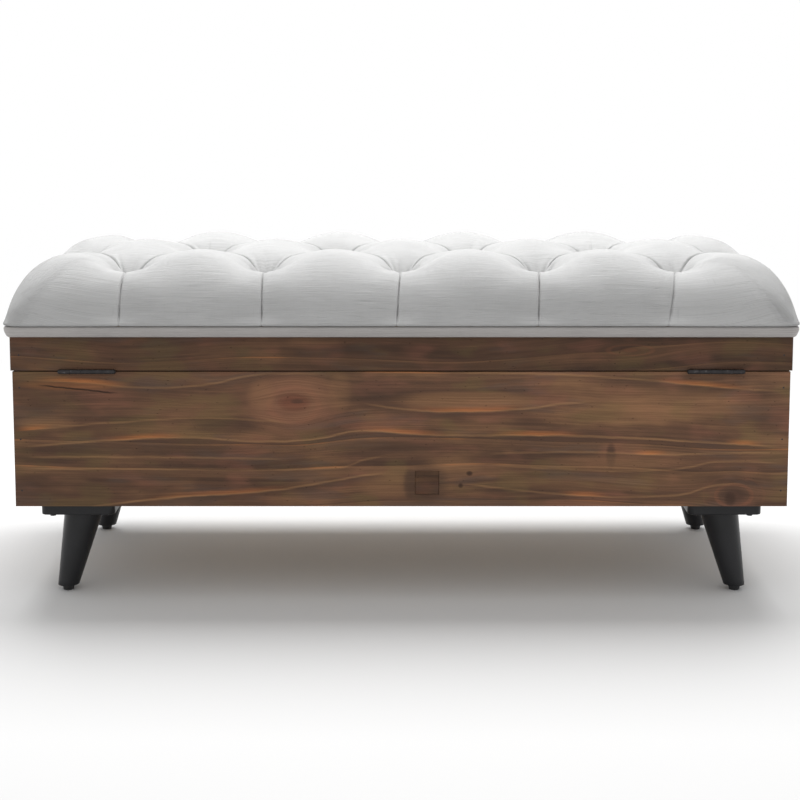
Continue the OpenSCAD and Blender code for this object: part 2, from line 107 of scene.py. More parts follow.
class Nodes:
    """Short names for the shader nodes of one material."""

    def __init__(self, name):
        self.material = bpy.data.materials.new(name)
        self.material.use_nodes = True
        self.tree = self.material.node_tree
        self.tree.nodes.clear()

    def add(self, kind, inputs=None, **settings):
        node = self.tree.nodes.new("ShaderNode" + kind)
        for key, value in settings.items():
            setattr(node, key, value)
        for key, value in (inputs or {}).items():
            if isinstance(value, bpy.types.NodeSocket):
                self.tree.links.new(value, node.inputs[key])
            else:
                node.inputs[key].default_value = value
        return node

    def math(self, operation, a, b=0.0):
        return self.add("Math", {0: a, 1: b}, operation=operation).outputs[0]

    times = partialmethod(math, "MULTIPLY")
    plus = partialmethod(math, "ADD")
    minus = partialmethod(math, "SUBTRACT")
    over = partialmethod(math, "DIVIDE")
    most = partialmethod(math, "MAXIMUM")

    def place(self, scale=(1, 1, 1)):
        """Object coordinates, stretched."""
        return self.stretch(self.add("TexCoord").outputs["Object"], scale)

    def stretch(self, where, scale):
        return self.add("VectorMath", {0: where, 1: scale}, operation="MULTIPLY").outputs[0]

    def split(self, where):
        return self.add("SeparateXYZ", {0: where}).outputs

    def join(self, x, y, z):
        return self.add("CombineXYZ", {0: x, 1: y, 2: z}).outputs[0]

    def noise(self, where, scale=1.0, detail=2.0, roughness=0.5, distortion=0.0):
        shape = {"Scale": scale, "Detail": detail, "Roughness": roughness, "Distortion": distortion}
        return self.add("TexNoise", {"Vector": where, **shape}).outputs[0]

    def spots(self, where, scale=1.0):
        """How far the nearest of many scattered points is."""
        return self.add("TexVoronoi", {"Vector": where, "Scale": scale}).outputs["Distance"]

    def ramp(self, value, stops):
        """A grey that runs from one stop to the other; each is a value and its grey."""
        node = self.add("ValToRGB", {0: value})
        for element, (position, grey) in zip(node.color_ramp.elements, stops):
            element.position = position
            element.color = (grey, grey, grey, 1)
        return node.outputs[0]

    def band(self, value, low, high):
        """0 below low, 1 above high and smooth between; low may be above high."""
        span = {"Value": value, "From Min": low, "From Max": high}
        return self.add("MapRange", span, interpolation_type="SMOOTHSTEP").outputs[0]

    def curve(self, value, points):
        """A smooth curve through points from (0, 0) to (1, 1)."""
        node = self.add("FloatCurve", {"Value": value})
        curve = node.mapping.curves[0]
        while len(curve.points) < len(points):
            curve.points.new(0.5, 0.5)
        for point, place in zip(curve.points, points):
            point.location = place
        node.mapping.update()
        return node.outputs[0]

    def mix(self, amount, a, b):
        """Blends from a to b; either may be a plain colour."""
        return self.add("Mix", {0: amount, 6: opaque(a), 7: opaque(b)}, data_type="RGBA").outputs[2]

    def bump(self, height, distance, under=None):
        below = {} if under is None else {"Normal": under}
        return self.add("Bump", {"Height": height, "Distance": distance, "Strength": 1.0, **below}).outputs[0]

    def surface(self, color, roughness, normal, **sockets):
        """Ends the material with a principled shader; sockets names its other inputs."""
        inputs = {"Base Color": opaque(color), "Roughness": roughness, "Normal": normal}
        inputs.update({key.replace("_", " "): value for key, value in sockets.items()})
        shader = self.add("BsdfPrincipled", inputs)
        self.add("OutputMaterial", {"Surface": shader.outputs[0]})
        return self.material


def shade(tone, factor):
    """A darker or lighter tone."""
    return tuple(c * factor for c in tone)


def subdivide(piece):
    """One smoothing step, the same in the view and in the render."""
    smooth = piece.modifiers.new("smooth", "SUBSURF")
    smooth.levels = 1
    smooth.render_levels = 1


def new_piece(name, vertices, faces, material, uv=None):
    """A smooth mesh piece that rides on the lid; uv gives one pair of metres for each vertex."""
    mesh = bpy.data.meshes.new(name)
    mesh.from_pydata([tuple(v) for v in vertices], [], [tuple(f) for f in faces])
    if uv is not None:
        layer = mesh.uv_layers.new(name="cloth")
        corner = np.zeros(len(mesh.loops), np.int32)
        mesh.loops.foreach_get("vertex_index", corner)
        layer.data.foreach_set("uv", np.asarray(uv, np.float32)[corner].ravel())
    mesh.polygons.foreach_set("use_smooth", [True] * len(mesh.polygons))
    mesh.materials.append(material)
    piece = show(bpy.data.objects.new(name, mesh))
    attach(piece, "lid")
    return piece


# ---- fabrics

# The distance over which the linen's weave repeats.
THREADS = 1.1 * MM


def linen(name, tone, slub=1.0):
    """Plain-woven linen. Its threads follow the cloth map, which is in metres."""
    n = Nodes(name)
    cloth = n.add("UVMap", uv_map="cloth").outputs[0]
    along, across, _ = n.split(cloth)
    turn = 2 * pi / THREADS
    wobble = n.times(n.noise(n.stretch(cloth, (90, 90, 90)), detail=1), 1.1)
    weft = n.math("SINE", n.plus(n.times(across, turn), wobble))
    warp = n.math("SINE", n.plus(n.times(along, turn), wobble))
    weave = n.times(weft, warp)
    long_slub = n.noise(n.stretch(cloth, (13, 900, 1)), detail=2.5, roughness=0.6)
    short_slub = n.noise(n.stretch(cloth, (800, 22, 1)), detail=2, roughness=0.6)
    cloud = n.noise(n.stretch(cloth, (7, 11, 1)), detail=3)
    thick = n.band(long_slub, 0.52, 0.74)
    thin = n.band(long_slub, 0.46, 0.26)
    pale = tuple(min(1.0, c * 1.36) for c in tone)
    deep = shade(tone, 0.62)
    color = n.mix(n.times(thick, 0.85 * slub), tone, pale)
    darker = [(thin, 0.85 * slub), (n.band(short_slub, 0.58, 0.85), 0.45 * slub)]
    # The last mask darkens the weave where its threads dip under: painted shade between the threads.
    for mask, amount in [*darker, (n.band(cloud, 0.35, 0.7), 0.22), (n.band(weave, 0.2, -1.0), 0.16)]:
        color = n.mix(n.times(mask, amount), color, deep)
    normal = n.bump(weave, 0.16 * MM)
    normal = n.bump(thick, 0.35 * MM * slub, normal)
    normal = n.bump(n.noise(n.stretch(cloth, (22, 520, 1)), detail=3), 0.35 * MM * slub, normal)
    return n.surface(color, 0.92, normal, Sheen_Weight=0.25, Sheen_Roughness=0.6, Specular_IOR_Level=0.25)


def soft_foam(name, tone):
    """Open-cell foam."""
    n = Nodes(name)
    cells = n.spots(n.place(), 900)
    # The pores are darker: painted shade inside the cells.
    color = n.mix(n.band(cells, 0.1, 0.6), shade(tone, 0.72), tone)
    color = n.mix(n.noise(n.place(), 14), color, shade(tone, 0.9))
    return n.surface(color, 0.95, n.bump(cells, 0.5 * MM))


def fibre_fill(name, tone):
    """Loose polyester wadding."""
    n = Nodes(name)
    fluff = n.noise(n.place(), 160, detail=6, roughness=0.75, distortion=1.5)
    color = n.mix(n.band(fluff, 0.35, 0.7), shade(tone, 0.82), tone)
    return n.surface(color, 1.0, n.bump(fluff, 2 * MM), Sheen_Weight=0.4)


def lining_cloth(name, tone):
    """Thin black non-woven cloth with a pressed dot pattern."""
    n = Nodes(name)
    dots = n.add("TexVoronoi", {"Vector": n.place(), "Scale": 420.0, "Randomness": 0.15})
    press = n.band(dots.outputs["Distance"], 0.18, 0.32)
    fibres = n.noise(n.place((1, 1, 0.2)), 900, detail=3, roughness=0.7)
    color = n.mix(fibres, tone, shade(tone, 2.2))
    normal = n.bump(press, 0.15 * MM)
    return n.surface(color, 0.85, n.bump(fibres, 0.1 * MM, normal))


def twine(name, tone):
    """Twisted thread that runs upright."""
    n = Nodes(name)
    _, _, height = n.split(n.place())
    lay = n.math("SINE", n.times(height, 2600.0))
    # Darker in the grooves of the twist: painted shade.
    color = n.mix(n.band(lay, -0.8, 0.8), shade(tone, 0.6), tone)
    return n.surface(color, 0.8, n.bump(lay, 0.2 * MM))


# ---- wood

BOARD_LOW, BOARD_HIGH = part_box("back_panel")
# How far a growth ring rises across the thickness of a board.
RING_LEAN = 0.35
# The distance over which a growth line fades in and out at its ends.
LINE_FADE = 40 * MM
# The colours of the stained wood before a board's own lightness, which this balance warms.
WARMTH = (1.10, 1.0, 0.92)
STAIN = {
    "dark": (0.045, 0.027, 0.019),
    "mid": (0.088, 0.049, 0.031),
    "pale": (0.190, 0.108, 0.056),
    "glow": (0.400, 0.145, 0.042),
    "rust": (0.140, 0.064, 0.044),
    "olive": (0.088, 0.067, 0.030),
    "smoke": (0.060, 0.046, 0.040),
    "whorl": (0.170, 0.070, 0.040),
    "knot": (0.050, 0.020, 0.014),
    "line": (0.260, 0.155, 0.075),
    "pit": (0.020, 0.012, 0.009),
    "crack": (0.016, 0.010, 0.008),
    "ember": (0.330, 0.140, 0.050),
    "stain": (0.036, 0.023, 0.018),
    "heart": (0.085, 0.030, 0.020),
    "rose": (0.175, 0.088, 0.056),
    "hole": (0.015, 0.009, 0.007),
}


def oval(n, along, z, at, level, long, tall):
    """The squared distance from the middle of an oval, which is 1 on its edge, and the height above it."""
    dx = n.over(n.minus(along, at), long)
    rise = n.minus(z, level)
    dz = n.over(rise, tall)
    return n.plus(n.times(dx, dx), n.times(dz, dz)), rise


def knot_field(n, along, z, upward, knots):
    """How the grain parts round each knot: the shifted height, the dark hearts and their rings."""
    height, heart, whorl = upward, 0.0, 0.0
    for at, level, long, tall, push in knots:
        square, rise = oval(n, along, z, at, level, long, tall)
        near = n.math("POWER", exp(1), n.times(square, -1.0))
        height = n.minus(height, n.times(n.times(rise, near), push))
        heart = n.most(heart, n.band(square, 0.16, 0.03))
        rings = n.math("SINE", n.times(n.math("SQRT", square), 13.0))
        whorl = n.most(whorl, n.times(n.band(rings, 0.2, 0.95), n.band(square, 1.3, 0.7)))
    return height, heart, whorl


def growth_lines(n, along, height, lines):
    """Growth lines as masks: the pale line, the orange glow above it and the dark wood below."""
    low, half = BOARD_LOW.z, BOARD_HIGH.x
    tall, long = BOARD_HIGH.z - low, 2 * half
    share = n.over(n.plus(along, half), long)
    level = n.over(n.minus(height, low), tall)
    pale, ember, dark = 0.0, 0.0, 0.0
    for strength, course, glows in lines:
        points = [((x * MM + half) / long, (z * MM - low) / tall) for x, z in course]
        above = n.times(n.minus(level, n.curve(share, points)), tall)
        first, last = course[0][0] * MM, course[-1][0] * MM
        inner = n.band(along, first, first + LINE_FADE)
        shown = n.times(inner, n.band(along, last, last - LINE_FADE))
        shown = n.times(shown, strength)
        thin = n.band(n.math("ABSOLUTE", above), 2.6 * MM, 0.2 * MM)
        pale = n.most(pale, n.times(thin, shown))
        fall = n.times(n.band(above, -13 * MM, -1 * MM), n.band(above, 0.2 * MM, -1.0 * MM))
        dark = n.most(dark, n.times(fall, shown))
        rise = n.times(n.band(above, 9 * MM, 1 * MM), n.band(above, -0.8 * MM, 0.4 * MM))
        for at, reach in glows:
            off = n.math("ABSOLUTE", n.minus(along, at * MM))
            ember = n.most(ember, n.times(rise, n.band(off, reach * MM, 0.0)))
    return pale, ember, dark


def crack_lines(n, along, z, cracks):
    """Thin cracks as a mask; each has its middle, half length and slope."""
    mask = 0.0
    for middle, level, reach, slope in cracks:
        off = n.minus(along, middle)
        line = n.minus(z, n.plus(level, n.times(off, slope)))
        wave = n.times(n.minus(n.noise(n.join(n.times(off, 40.0), 0, 0)), 0.5), 4 * MM)
        close = n.band(n.math("ABSOLUTE", n.plus(line, wave)), 1.6 * MM, 0.2 * MM)
        inside = n.band(n.math("ABSOLUTE", off), reach, reach * 0.6)
        mask = n.most(mask, n.times(close, inside))
    return mask


def pine(
    name, seed, knots=(), run="x", rings=30.0, light=1.0, figure=0.55, cracks=(), lines=(), marks=()
):
    """Dark-stained softwood: fine fibres, growth rings, knots and a mottled stain along the board."""
    n = Nodes(name)
    tint = {kind: tuple(c * light * w for c, w in zip(tone, WARMTH)) for kind, tone in STAIN.items()}
    x, y, z = n.split(n.place())
    along, crosswise = (x, y) if run == "x" else (y, x)
    slow = n.noise(n.join(n.times(along, 1.6), n.times(z, 5.0), seed), detail=2)
    drift = n.times(n.minus(slow, 0.5), 0.075)
    upward = n.plus(z, n.times(crosswise, RING_LEAN))
    parted, heart, whorl = knot_field(n, along, z, upward, knots)
    grain = n.plus(parted, drift)
    uneven = n.noise(n.join(seed, n.times(grain, 14.0), 0.0), detail=1)
    ring_at = n.plus(n.times(grain, rings), n.times(uneven, 2.6))
    ring = n.math("FRACT", ring_at)
    numbered = n.plus(n.math("FLOOR", ring_at), seed)
    ring_tone = n.add("TexWhiteNoise", {"W": numbered}, noise_dimensions="1D").outputs[0]

    def place(long, across, shift, height=grain):
        """A place stretched so that what is drawn there runs along the board."""
        return n.join(n.times(along, long), n.times(height, across), seed + shift)

    def layered(color, layers):
        """Lays one tint after another over a colour; each layer is its mask, strength and kind."""
        for mask, amount, kind in layers:
            color = n.mix(n.times(mask, amount), color, tint[kind])
        return color

    fibre = n.noise(place(9.0, 620.0, 0.0), detail=3, roughness=0.65)
    streak = n.noise(place(3.5, 95.0, 3.0), detail=3, roughness=0.6)
    blotch = n.noise(place(8.0, 22.0, 7.0), detail=3, roughness=0.55)
    hue = n.noise(place(13.0, 26.0, 11.0, z), detail=2, roughness=0.5)
    smoke = n.noise(place(8.0, 34.0, 17.0), detail=3, roughness=0.6)
    late_wood = n.times(n.band(ring, 0.35, 0.96), n.band(ring_tone, 0.15, 0.9))
    edge = n.times(n.band(ring, 0.90, 0.975), n.band(ring, 1.0, 0.985))
    edge = n.times(edge, n.band(ring_tone, 0.25, 0.75))
    color = n.mix(n.band(streak, 0.28, 0.66), tint["dark"], tint["mid"])
    layers = [
        (n.band(blotch, 0.45, 0.75), 0.50, "pale"),
        (n.band(hue, 0.52, 0.68), 0.48, "rust"),
        (n.band(hue, 0.47, 0.32), 0.48, "olive"),
        (n.band(smoke, 0.52, 0.68), 0.50, "smoke"),
        (late_wood, figure, "pale"),
        (edge, figure, "pale"),
        (n.times(edge, n.band(blotch, 0.50, 0.66)), 1.4 * figure, "glow"),
        (n.band(ring, 0.16, 0.0), figure, "dark"),
        (whorl, 0.26, "whorl"),
        (heart, 0.30, "knot"),
    ]
    ragged = n.times(n.minus(fibre, 0.5), 0.9)
    for at, level, long, tall, kind, amount in marks:
        square, _ = oval(n, along, z, at * MM, level * MM, long * MM, tall * MM)
        layers.append((n.band(n.plus(square, ragged), 1.5, 0.1), amount, kind))
    color = layered(color, layers)
    if lines:
        wander = n.minus(n.noise(n.join(n.times(along, 30.0), 0, 0)), 0.5)
        height = n.plus(z, n.times(wander, 3 * MM))
        bright, ember, under = growth_lines(n, along, height, lines)
        patchy = n.ramp(streak, [(0.3, 0.55), (0.6, 1.0)])
        layers = [(under, 0.62, "stain"), (n.times(ember, patchy), 0.52, "glow")]
        color = layered(color, [*layers, (n.times(bright, patchy), 0.55, "line")])
        # Painted light: a board with growth lines is scaled from darker at its -X end to lighter at its +X
        # end, as if more light fell on its +X end.
        span = {"From Min": -0.53, "From Max": 0.53, "To Min": 0.92, "To Max": 1.22}
        side = n.add("MapRange", {"Value": x, **span}).outputs[0]
        color = n.add("VectorMath", {0: color, "Scale": side}, operation="SCALE").outputs[0]
    pits_at = n.join(n.times(along, 55.0), n.times(grain, 190.0), crosswise)
    pits = n.band(n.spots(pits_at), 0.09, 0.04)
    crack = crack_lines(n, along, z, cracks)
    fibres = [(n.band(fibre, 0.62, 0.36), 0.34, "dark"), (n.band(fibre, 0.60, 0.80), 0.26, "pale")]
    color = layered(color, [*fibres, (pits, 0.30, "pit"), (crack, 0.9, "crack")])

    rough = n.ramp(fibre, [(0.3, 0.66), (0.7, 0.52)])
    normal = n.bump(fibre, 0.35 * MM)
    normal = n.bump(n.minus(ring, n.times(edge, 0.6)), 0.2 * MM, normal)
    deep = n.plus(n.plus(pits, crack), n.times(heart, 0.5))
    normal = n.bump(n.times(deep, -1.0), 0.8 * MM, normal)
    return n.surface(color, rough, normal, Specular_IOR_Level=0.14)


def plywood(name, tone):
    """Birch-faced plywood: open grain on the faces and thin layers at the edges."""
    n = Nodes(name)
    x, y, z = n.split(n.place())
    figure_at = n.join(n.times(x, 2.2), n.times(y, 34.0), n.times(z, 3.0))
    figure = n.noise(figure_at, detail=4, roughness=0.6, distortion=0.8)
    layers = n.math("SINE", n.times(z, 2 * pi / (3.2 * MM)))
    up = n.math("ABSOLUTE", n.split(n.add("NewGeometry").outputs["True Normal"])[2])
    edge = n.band(up, 0.6, 0.3)
    color = n.mix(n.band(figure, 0.35, 0.65), tone, shade(tone, 0.72))
    sides = n.mix(n.band(layers, -0.3, 0.3), shade(tone, 0.62), shade(tone, 0.95))
    color = n.mix(edge, color, sides)
    return n.surface(color, 0.7, n.bump(figure, 0.3 * MM))


# ---- hard parts


def satin_black(name, tone, rough):
    """Black satin paint with a faint orange-peel surface."""
    n = Nodes(name)
    peel = n.noise(n.place(), 420, detail=2)
    cloud = n.noise(n.place(), 23, detail=3)
    color = n.mix(n.band(cloud, 0.4, 0.75), tone, shade(tone, 1.8))
    gloss = n.ramp(cloud, [(0.3, rough - 0.05), (0.7, rough + 0.07)])
    return n.surface(color, gloss, n.bump(peel, 0.12 * MM), Specular_IOR_Level=0.34)


def dark_metal(name, tone, rough):
    """Blackened steel with worn, slightly brighter patches."""
    n = Nodes(name)
    wear = n.noise(n.place(), 130, detail=5, roughness=0.7)
    scratch = n.noise(n.place((40, 900, 900)), 1.0, detail=2)
    color = n.mix(n.band(wear, 0.55, 0.75), tone, shade(tone, 3.2))
    gloss = n.ramp(wear, [(0.35, rough + 0.14), (0.75, rough - 0.1)])
    return n.surface(color, gloss, n.bump(scratch, 0.06 * MM), Metallic=0.85)


def zinc(name, tone):
    """Bright zinc plating with a faint spangle."""
    n = Nodes(name)
    spangle = n.spots(n.place(), 260)
    color = n.mix(n.band(spangle, 0.2, 0.7), shade(tone, 0.8), tone)
    return n.surface(color, 0.34, n.bump(spangle, 0.05 * MM), Metallic=1.0)


def hard_plastic(name, tone):
    """Scuffed dark plastic."""
    n = Nodes(name)
    grain = n.noise(n.place(), 800, detail=2)
    scuff = n.noise(n.place((1, 1, 4)), 90, detail=4)
    color = n.mix(n.band(scuff, 0.6, 0.8), tone, shade(tone, 2.0))
    return n.surface(color, 0.48, n.bump(grain, 0.08 * MM))


def felt(name, tone):
    """Dark fuzzy felt."""
    n = Nodes(name)
    fuzz = n.noise(n.place(), 1500, detail=4, roughness=0.8)
    color = n.mix(fuzz, tone, shade(tone, 2.5))
    return n.surface(color, 1.0, n.bump(fuzz, 0.4 * MM), Sheen_Weight=0.6)


LINEN = linen("cushion_linen", (0.408, 0.408, 0.406))
BAND = linen("band_linen", (0.375, 0.355, 0.345), slub=0.7)
FOAM = soft_foam("seat_foam", (0.80, 0.72, 0.47))
WADDING = fibre_fill("seat_wadding", (0.86, 0.86, 0.85))
LINING = lining_cloth("dust_lining", (0.012, 0.012, 0.013))
TWINE = twine("tufting_twine", (0.62, 0.56, 0.44))
BLACK = satin_black("leg_black", (0.006, 0.006, 0.007), 0.38)
METAL = dark_metal("black_steel", (0.035, 0.033, 0.034), 0.38)
ZINC = zinc("zinc_plate", (0.62, 0.61, 0.57))
PLASTIC = hard_plastic("glide_plastic", (0.014, 0.014, 0.015))
FELT = felt("bumper_felt", (0.012, 0.012, 0.012))
PLY = plywood("deck_plywood", (0.52, 0.38, 0.24))

# Growth lines of the hinge-side board, in millimetres: how pale, the course as (along, height) and the
# stretches that glow orange as (along, half length). They were read off by eye, a helper script turned the
# readings into places on the board, and this set was cut down and rounded by hand from its result.
BACK_LINES = (
    (0.50, ((-525, 239), (-450, 247), (-370, 253), (-275, 258), (-190, 254), (-140, 249)), ((-500, 30),)),
    (
        0.75,
        (
            (-525, 217), (-410, 226), (-290, 231), (-185, 225), (-110, 230),
            (-60, 240), (25, 235), (240, 233), (405, 225), (525, 217),
        ),
        ((-350, 70), (5, 75), (185, 75), (467, 30)),
    ),
    (0.55, ((-525, 203), (-410, 204), (-290, 203), (-150, 200)), ()),
    (0.60, ((110, 208), (175, 210), (270, 210), (345, 207), (430, 209), (525, 210)), ((340, 30),)),
    (0.55, ((-525, 187), (-300, 187), (-125, 187), (-80, 190), (-50, 200), (-10, 207)), ()),
    (0.50, ((115, 193), (190, 189), (270, 185), (350, 185), (395, 190), (430, 197), (525, 194)), ()),
    (0.75, ((-440, 132), (-315, 147), (-185, 156), (-125, 165), (-50, 178), (-10, 182)), ((-250, 120),)),
    (0.55, ((75, 168), (175, 156), (245, 150), (325, 148), (380, 151), (435, 165), (475, 167)), ((250, 40),)),
    (0.55, ((-525, 311), (-450, 308), (-340, 300), (-275, 303), (-190, 318), (-95, 318)), ((-440, 70),)),
    (0.55, ((60, 320), (215, 318), (325, 311), (405, 303), (465, 298), (525, 295)), ((410, 80),)),
    (0.60, ((-60, 280), (5, 270), (50, 267), (160, 270), (215, 277), (270, 281)), ((90, 90),)),
)
# Stains and marks on that board, arrived at in the same way: along, height, half length, half height, kind
# and strength.
BACK_MARKS = (
    # The warm stain by the crack, and the pale and dark stretches of the left third.
    (-445, 304, 70, 8, "ember", 0.45),
    (-485, 250, 40, 11, "pale", 0.5),
    (-340, 240, 120, 8, "pale", 0.25),
    (-235, 245, 50, 11, "stain", 0.45),
    (-370, 214, 160, 8, "stain", 0.45),
    (-470, 283, 60, 28, "stain", 0.35),
    (-465, 162, 80, 19, "stain", 0.3),
    (-290, 270, 80, 19, "pale", 0.18),
    # The large knot: warm wood all round, a pale flank on each side and a small dark heart.
    (-150, 278, 62, 44, "rose", 0.55),
    (-84, 294, 16, 28, "pale", 0.25),
    (-190, 290, 19, 22, "pale", 0.3),
    (-146, 280, 24, 12, "heart", 0.6),
    (-142, 281, 9, 3, "stain", 0.6),
    # The middle of the board.
    (90, 283, 100, 12, "pale", 0.55),
    (-30, 292, 45, 24, "stain", 0.38),
    (-16, 217, 95, 11, "stain", 0.35),
    # Darker wood round the patch, darkest along its -X side, and the wormholes.
    (-16, 166, 48, 19, "pale", 0.45),
    (66, 187, 40, 16, "pale", 0.3),
    # These two darken the wood round the patch, most along its -X side.
    (33, 167, 31, 27, "stain", 0.7),
    (11, 167, 8, 22, "stain", 0.5),
    (93, 181, 4.5, 3.5, "hole", 0.8),
    (81, 164, 3.5, 3.5, "hole", 0.75),
    # The upright scar and the dark swirl of the right third.
    (286, 206, 7, 18, "stain", 0.8),
    (340, 277, 120, 28, "pale", 0.3),
    (215, 232, 90, 17, "stain", 0.35),
    (433, 218, 80, 10, "stain", 0.3),
    (295, 197, 95, 11, "pale", 0.35),
    (283, 167, 150, 12, "pale", 0.25),
    (455, 151, 25, 12, "stain", 0.75),
    (450, 145, 8, 10, "hole", 0.5),
    (494, 270, 34, 30, "stain", 0.25),
)
# Knots: place along the board, height, half length, half height and how far the grain parts.
BACK_KNOTS = (
    (-0.146, 0.276, 0.055, 0.040, 0.80),
    (0.455, 0.150, 0.040, 0.026, 0.70),
)
BACK_CRACKS = ((-0.440, 0.298, 0.060, -0.10),)
# Knots of the boards that are less in view: one or two in each.
FRONT_KNOTS = ((0.21, 0.25, 0.09, 0.03, 0.7), (-0.33, 0.17, 0.08, 0.03, 0.7))
LEFT_KNOTS = ((0.06, 0.24, 0.07, 0.03, 0.7),)
RIGHT_KNOTS = ((-0.07, 0.20, 0.07, 0.03, 0.7),)
BACK_RAIL_KNOTS = ((0.31, 0.352, 0.05, 0.012, 0.6),)
FRONT_RAIL_KNOTS = ((-0.12, 0.345, 0.05, 0.012, 0.6),)
BACK = {"light": 1.28, "figure": 0.22, "cracks": BACK_CRACKS, "lines": BACK_LINES, "marks": BACK_MARKS}
BOARD = {"light": 1.3, "figure": 0.45}
RAIL = {"rings": 42, "light": 0.92, "figure": 0.2}
HIDDEN = {"rings": 60, "light": 1.3}
WOODS = {
    "back_panel": pine("pine_back", 1.7, BACK_KNOTS, **BACK),
    "front_panel": pine("pine_front", 5.3, FRONT_KNOTS, **BOARD),
    "left_panel": pine("pine_left", 9.1, LEFT_KNOTS, run="y", **BOARD),
    "right_panel": pine("pine_right", 12.4, RIGHT_KNOTS, run="y", **BOARD),
    "lid_back_rail": pine("pine_lid_back", 20.6, BACK_RAIL_KNOTS, **RAIL),
    "lid_front_rail": pine("pine_lid_front", 24.2, FRONT_RAIL_KNOTS, **RAIL),
    "lid_left_rail": pine("pine_lid_left", 28.8, run="y", **RAIL),
    "lid_right_rail": pine("pine_lid_right", 31.5, run="y", **RAIL),
    "panel_patch": pine("pine_patch", 36.0, rings=25, light=0.85, figure=0.1),
    "corner_blocks": pine("pine_blocks", 40.0, **HIDDEN),
    "bottom_battens": pine("pine_battens", 44.0, **HIDDEN),
}
LOOKS = {
    BLACK: ("leg_block_", "leg_back", "leg_front"),
    PLASTIC: ("glide_",),
    METAL: ("hinge", "stay", "leg_bolts", "nails"),
    ZINC: ("hanger_bolts", "tee_nuts", "deck_screws", "tuft_washers"),
    FELT: ("lid_bumpers",),
    PLY: ("bottom_panel", "lid_deck"),
    TWINE: ("tuft_cords",),
}


def look_of(node):
    if node in WOODS:
        return WOODS[node]
    for material, words in LOOKS.items():
        if any(word in node for word in words):
            return material
    return None


def dress_cad_nodes():
    """Gives each carried-over CAD node its material."""
    for name, node in NODES.items():
        material = look_of(name)
        if material is None:
            continue
        if not node.material_slots:
            node.data.materials.append(material)
        for slot in node.material_slots:
            slot.material = material


def ease_edges(names, width, segments=2):
    """Rounds the edges of hard CAD nodes a little with modifiers, which leave their meshes alone."""
    for name in names:
        node = NODES[name]
        weld = node.modifiers.new("weld", "WELD")
        weld.merge_threshold = 0.01 * MM
        bevel = node.modifiers.new("eased_edges", "BEVEL")
        bevel.width = width
        bevel.segments = segments
        bevel.limit_method = "ANGLE"
        bevel.angle_limit = radians(40)
        bevel.harden_normals = True
        bevel.loop_slide = False


dress_cad_nodes()
BOARDS = [name for name in WOODS if name != "panel_patch"]
ease_edges(BOARDS, 1.3 * MM)
ease_edges(["panel_patch"], 0.8 * MM)
ease_edges([name for name in NODES if name.startswith("leg_block_")], 1.6 * MM)
ease_edges([name for name in NODES if name.startswith(("leg_back", "leg_front"))], 2.2 * MM, 3)

# ---- cushion

COVER_LOW, COVER_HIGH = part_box("seat_cover")
BUTTONS_LOW, BUTTONS_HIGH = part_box("tuft_buttons")
HALF_LENGTH = COVER_HIGH.x
HALF_DEPTH = COVER_HIGH.y
HEM = COVER_LOW.z
CREST = COVER_HIGH.z
BUTTON_RADIUS = 12 * MM
PITCH = (BUTTONS_HIGH.x - BUTTON_RADIUS) / 2.5
ROW = BUTTONS_HIGH.y - BUTTON_RADIUS
TUFT_FLOOR = BUTTONS_LOW.z

# How far in the cushion rolls from its ends and long sides, how high its lip is and how far it tucks in.
END_ROLL = 62 * MM
SIDE_ROLL = 80 * MM
LIP = 3 * MM
TUCK = 6 * MM
# How far the flanks lean in just above the lip, and within which share of the height.
LEAN = 4 * MM
LEAN_SHARE = 0.12
# The corner radius at the hem and at the top, and how it grows between them.
HEM_CORNER = 15 * MM
TOP_CORNER = 52 * MM
CORNER_GROWTH = 0.8


def outline_level(turn):
    """Insets in x and y, height and corner radius of the outline; turn is 0 at the lip and 90 at the top."""
    angle = radians(turn)
    rise = sin(angle)
    round_off = 1 - cos(angle)
    lean = LEAN * (1 - exp(-rise / LEAN_SHARE)) * (1 - rise)
    inset = (END_ROLL * round_off + lean, SIDE_ROLL * round_off + lean)
    height = HEM + LIP + (CREST - HEM - LIP) * rise
    corner = HEM_CORNER + (TOP_CORNER - HEM_CORNER) * rise**CORNER_GROWTH
    return inset, height, corner


def graded(count, ends=0.85):
    """Steps from 0 to 1 that are finer at both ends, where the pleats are."""
    t = np.linspace(0, 1, count + 1)
    return t - ends * np.sin(2 * pi * t) / (2 * pi)


def levels():
    """Outlines from the flat top down over the edge and in under the lip."""
    rows = [outline_level(turn) for turn in np.linspace(90, 0, 31)]
    for angle in (35, 70):
        a = radians(angle)
        under = TUCK * (1 - cos(a))
        rows.append(((under, under), HEM + LIP - LIP * sin(a), HEM_CORNER))
    rows.append(((TUCK, TUCK), HEM + 0.1 * MM, HEM_CORNER))
    return rows


# How far the side pleats' feet lie from their buttons, from -X to +X in millimetres, at -Y and at +Y.
PLEAT_DRIFT = {-1: (-1, 2, -7, -6, -22), 1: (4, -5, 3, 6, -3)}
# Kinds of pleat: how deep one draws the pad in, how much deeper by a button, how far that carries, how wide
# the draw is and how deep the crease.
TOP_PLEAT = (12 * MM, 14 * MM, 30 * MM, 80 * MM, 7.5 * MM)
SIDE_PLEAT = (2 * MM, 22 * MM, 62 * MM, 54 * MM, 4.3 * MM)
CREASE_WIDTH = 1 * MM
# Points further than this from a pleat are out of its reach.
SEARCH = 90 * MM
# The top pleats of the hinge side lose this share of their crease near a button and regain it further on.
FADED = 0.85
FADE_NEAR = 15 * MM
FADE_FAR = 60 * MM
# The flat seat of a button, the ring round it where the linen rises, and the well's width and steepness.
SEAT = 9 * MM
SEAT_RING = 8 * MM
WELL = 33 * MM
WELL_POWER = 1.25
# The small folds round each button: how many, where they start and end, and how wide they are.
FOLDS = 12
FOLD_START = 8 * MM
FOLD_END = 75 * MM
FOLD_WIDTH = 1.5 * MM
